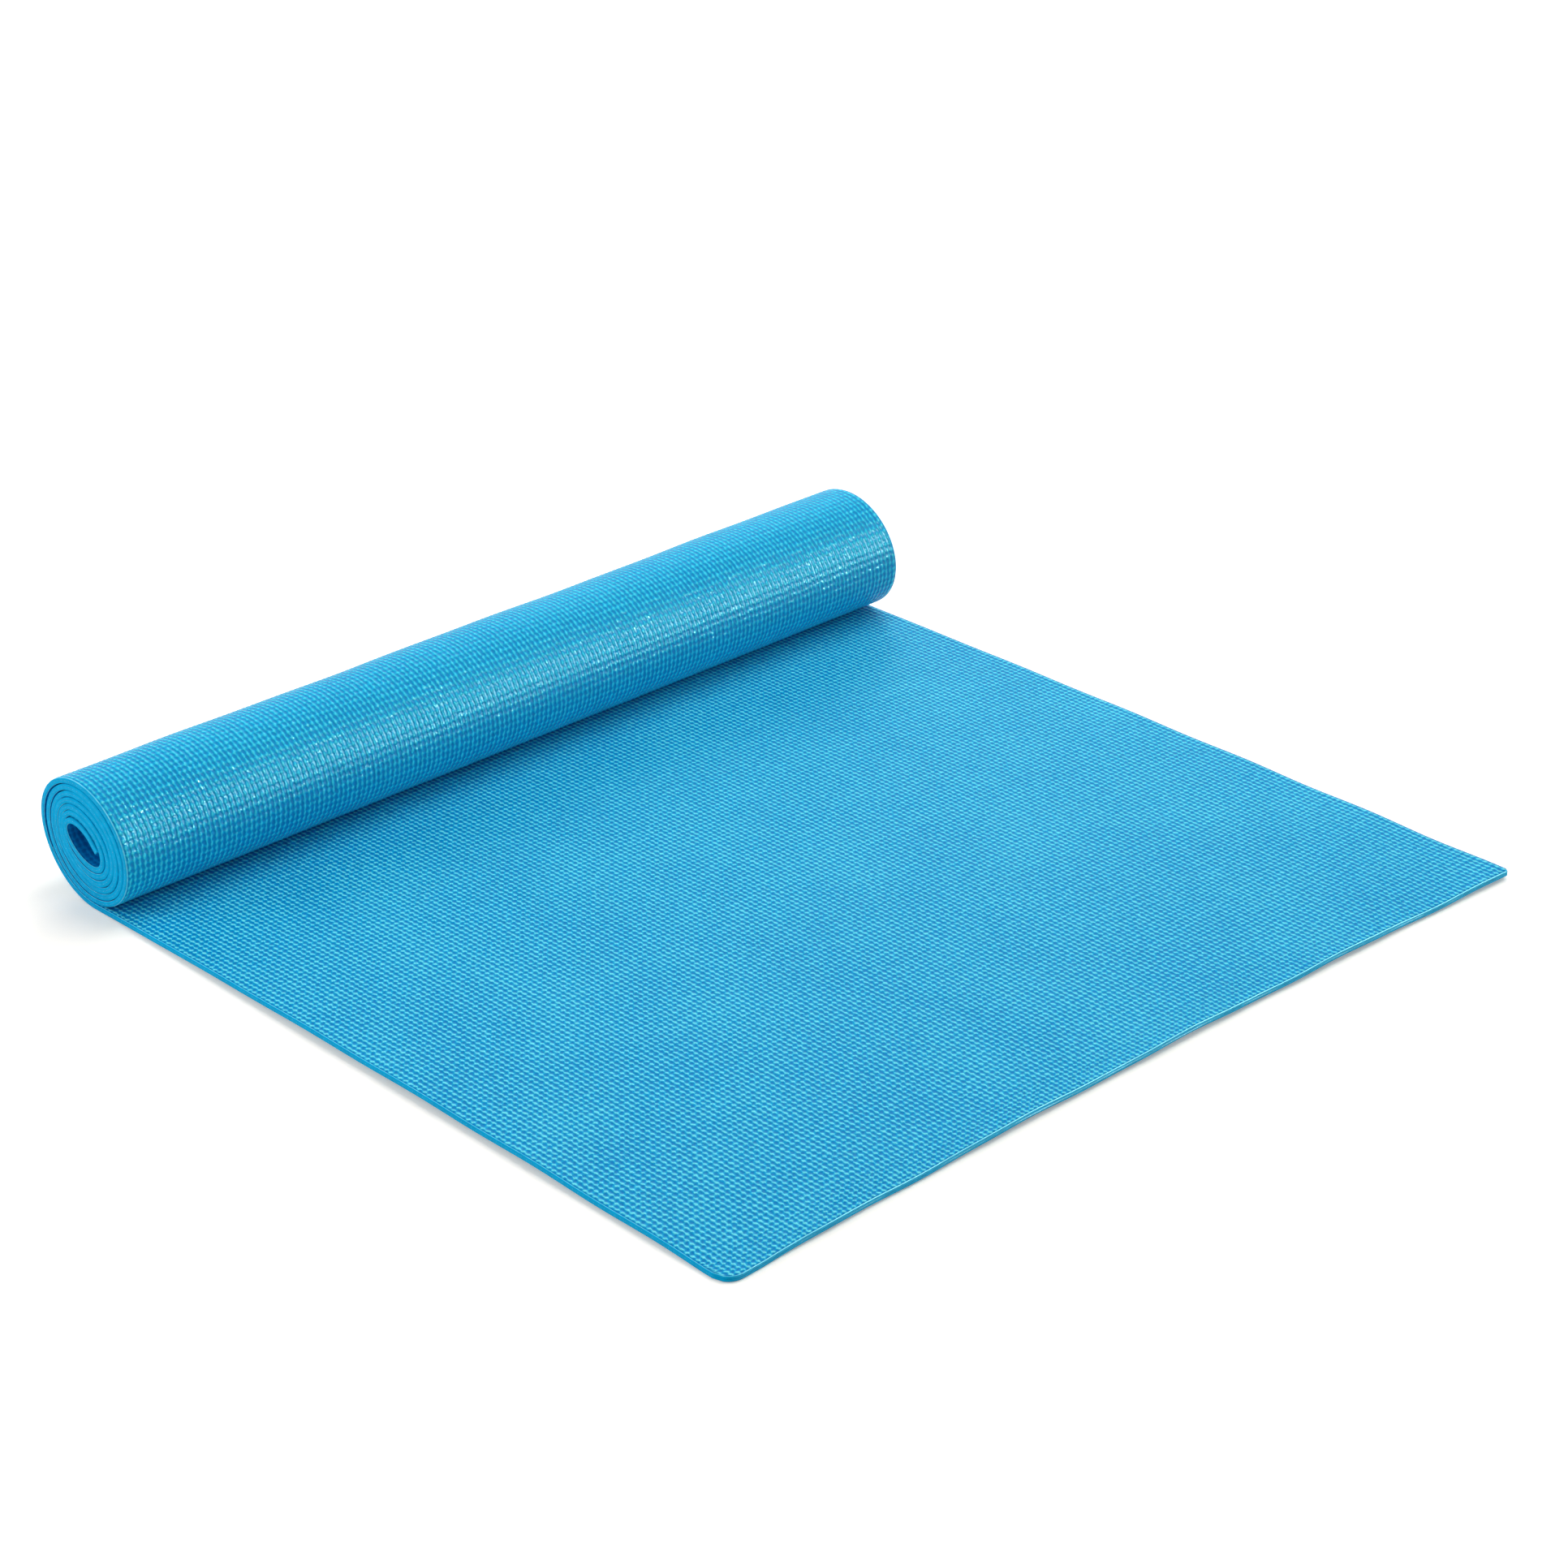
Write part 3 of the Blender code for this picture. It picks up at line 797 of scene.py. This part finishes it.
def cut_material():
    """Knife-cut PVC foam: an even light blue with fine closed cells, and no gloss."""
    material, tree, shader = new_finish("knife_cut_pvc_foam")
    spot = add_node(tree, "ShaderNodeTexCoord").outputs["Object"]
    cells = add_node(tree, "ShaderNodeTexVoronoi", inputs={"Vector": spot, "Scale": CELL_SCALE})
    mottle = add_node(tree, "ShaderNodeTexNoise",
                      inputs={"Vector": spot, "Scale": CUT_MOTTLE_SCALE})
    shade = add_node(tree, "ShaderNodeValToRGB", inputs={0: mottle.outputs[0]})
    for element, place, code in zip(shade.color_ramp.elements, NOISE_SPAN, CUT_BLUES):
        element.position = place
        element.color = paint(code)
    bump = add_node(tree, "ShaderNodeBump",
                    inputs={"Height": cells.outputs[0], "Distance": CELL_RELIEF,
                            "Strength": CELL_STRENGTH})
    tree.links.new(shade.outputs[0], shader.inputs["Base Color"])
    tree.links.new(bump.outputs[0], shader.inputs["Normal"])
    shader.inputs["Roughness"].default_value = CUT_ROUGHNESS
    shader.inputs["Specular IOR Level"].default_value = CUT_GLOSS
    return material


def edge_material():
    """The skin's rounded cut edge: smooth, and paler than the skin as a painted highlight."""
    material, tree, shader = new_finish("foam_edge_with_painted_highlight")
    spot = add_node(tree, "ShaderNodeTexCoord").outputs["Object"]
    mottle = add_node(tree, "ShaderNodeTexNoise",
                      inputs={"Vector": spot, "Scale": EDGE_MOTTLE_SCALE})
    shade = add_node(tree, "ShaderNodeValToRGB", inputs={0: mottle.outputs[0]})
    for element, place, code in zip(shade.color_ramp.elements, NOISE_SPAN, EDGE_HIGHLIGHT_BLUES):
        element.position = place
        element.color = paint(code)
    tree.links.new(shade.outputs[0], shader.inputs["Base Color"])
    shader.inputs["Roughness"].default_value = EDGE_ROUGHNESS
    shader.inputs["Specular IOR Level"].default_value = EDGE_GLOSS
    return material


NUB_TREE = nub_tree()
skin_finish = skin_material("embossed_pvc_foam_skin", TOP_BLUES_WITH_PAINTED_LIGHT, TOP_RELIEF, NUB_DIP_SHARE,
                            TOP_GLOSS)
wound_finish_in_painted_shade = skin_material("pressed_pvc_foam_skin_in_painted_shade", WOUND_BLUES_IN_PAINTED_SHADE, WOUND_RELIEF, NUB_DIP_SHARE,
                             WOUND_GLOSS)
cut_finish = cut_material()
edge_highlight_finish = edge_material()
RIMS = {"flat": (FLAT_RIM, FLAT_RIM), "bend": (FLAT_RIM, ROLL_RIM), "roll": (ROLL_RIM, ROLL_RIM)}
for stretch in BODIES:
    nubbed = "upper" if stretch == "flat" else None
    made = sheet_solid(stretch, (0, FOAM_THICKNESS), rim=RIMS[stretch], nubs_on=nubbed)
    # inside the roll the skin takes the darker blues of painted shade
    skin = wound_finish_in_painted_shade if stretch == "roll" else skin_finish
    coat = solid_object(stretch + "_top_coat", made, [skin, cut_finish, edge_highlight_finish])
    if nubbed:
        raise_nubs(coat, made, skin)
    carry(coat, stretch)
    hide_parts(stretch + "_top_foam")


# The bottom coat
# The same foam on the net's underside, where it grips the floor. Rolled up, it is the outer
# side of each turn, so its nubs show all round the roll, spread a little by the curve.
# painted shade between the nubs and painted sheen on their tops, as on the top coat
UNDER_BLUES_WITH_PAINTED_LIGHT = ("0086C8", "00A8DE", "44DEF6")
UNDER_RELIEF = 0.0008
UNDER_GLOSS = 0.04
UNDER_DIP_SHARE = 0.38
NUBBED_TURNS = 1.04                  # the roll's outermost turn and a little more

under_finish = skin_material("stretched_pvc_foam_skin", UNDER_BLUES_WITH_PAINTED_LIGHT, UNDER_RELIEF,
                             UNDER_DIP_SHARE, UNDER_GLOSS)
for stretch in BODIES:
    made = sheet_solid(stretch, (FOAM_THICKNESS + NET_THICKNESS, SHEET_THICKNESS),
                       rim=RIMS[stretch], nubs_on="lower", fine_turns=NUBBED_TURNS)
    coat = solid_object(stretch + "_bottom_coat", made,
                        [under_finish, cut_finish, edge_highlight_finish])
    raise_nubs(coat, made, under_finish)
    carry(coat, stretch)
    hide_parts(stretch + "_bottom_foam")
